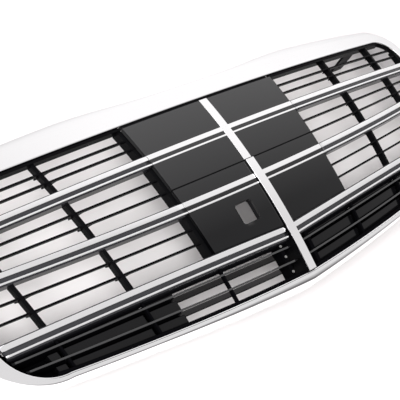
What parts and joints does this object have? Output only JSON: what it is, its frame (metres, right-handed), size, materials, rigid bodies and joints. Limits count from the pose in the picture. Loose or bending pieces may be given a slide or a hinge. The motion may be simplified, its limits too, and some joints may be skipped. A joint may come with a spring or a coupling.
{
  "type": "front grille",
  "caption": "Curved front grille for a large car, with a chrome frame, double-line louvres, black lattice and a centre panel for sensors.",
  "frame": {"origin": "centre of the grille's length and height, on the plane that its rearmost edges rest on", "axes": "+X across the car, +Y up in the car, +Z the way the grille's front faces; the grille lies on its back"},
  "size_m": [0.9114, 0.331, 0.115],
  "materials": {
    "bright_frame": "mirror-bright plating on moulded plastic",
    "bright_trim": "mirror-bright plating on moulded plastic",
    "black_lattice": "satin black",
    "black_louvre": "gloss dark grey-black",
    "piano_black": "high gloss black",
    "carrier_plastic": "satin black",
    "zinc_screw": "zinc plated"
  },
  "bodies": {
    "root": {"chrome_frame": "bright_frame", "upper_rail_left": "black_lattice", "upper_rail_right": "black_lattice", "side_rail_left": "black_lattice", "side_rail_right": "black_lattice", "ribs_left": "black_lattice", "ribs_right": "black_lattice", "bars_left": "black_lattice", "bars_right": "black_lattice", "lattice_lower_left": "black_lattice", "lattice_lower_right": "black_lattice", "louvre_1_left": "black_louvre", "louvre_1_right": "black_louvre", "louvre_2_left": "black_louvre", "louvre_2_right": "black_louvre", "louvre_3_left": "black_louvre", "louvre_3_right": "black_louvre", "wide_strip_1_left": "bright_trim", "wide_strip_1_right": "bright_trim", "wide_strip_2_left": "bright_trim", "wide_strip_2_right": "bright_trim", "wide_strip_3_left": "bright_trim", "wide_strip_3_right": "bright_trim", "narrow_strip_1_left": "bright_trim", "narrow_strip_1_right": "bright_trim", "narrow_strip_2_left": "bright_trim", "narrow_strip_2_right": "bright_trim", "narrow_strip_3_left": "bright_trim", "narrow_strip_3_right": "bright_trim", "radar_cover": "piano_black", "cover_spine_strip": "bright_trim", "cover_wide_strip_left": "bright_trim", "cover_wide_strip_right": "bright_trim", "cover_narrow_strip_left": "bright_trim", "cover_narrow_strip_right": "bright_trim", "camera_panel": "piano_black", "lower_spine_strip": "bright_trim", "spine_rail": "black_lattice", "panel_wide_strip_left": "bright_trim", "panel_wide_strip_right": "bright_trim", "panel_narrow_strip_left": "bright_trim", "panel_narrow_strip_right": "bright_trim", "centre_carrier": "carrier_plastic", "camera_bracket": "carrier_plastic", "carrier_screws": "zinc_screw"}
  },
  "joints": []
}
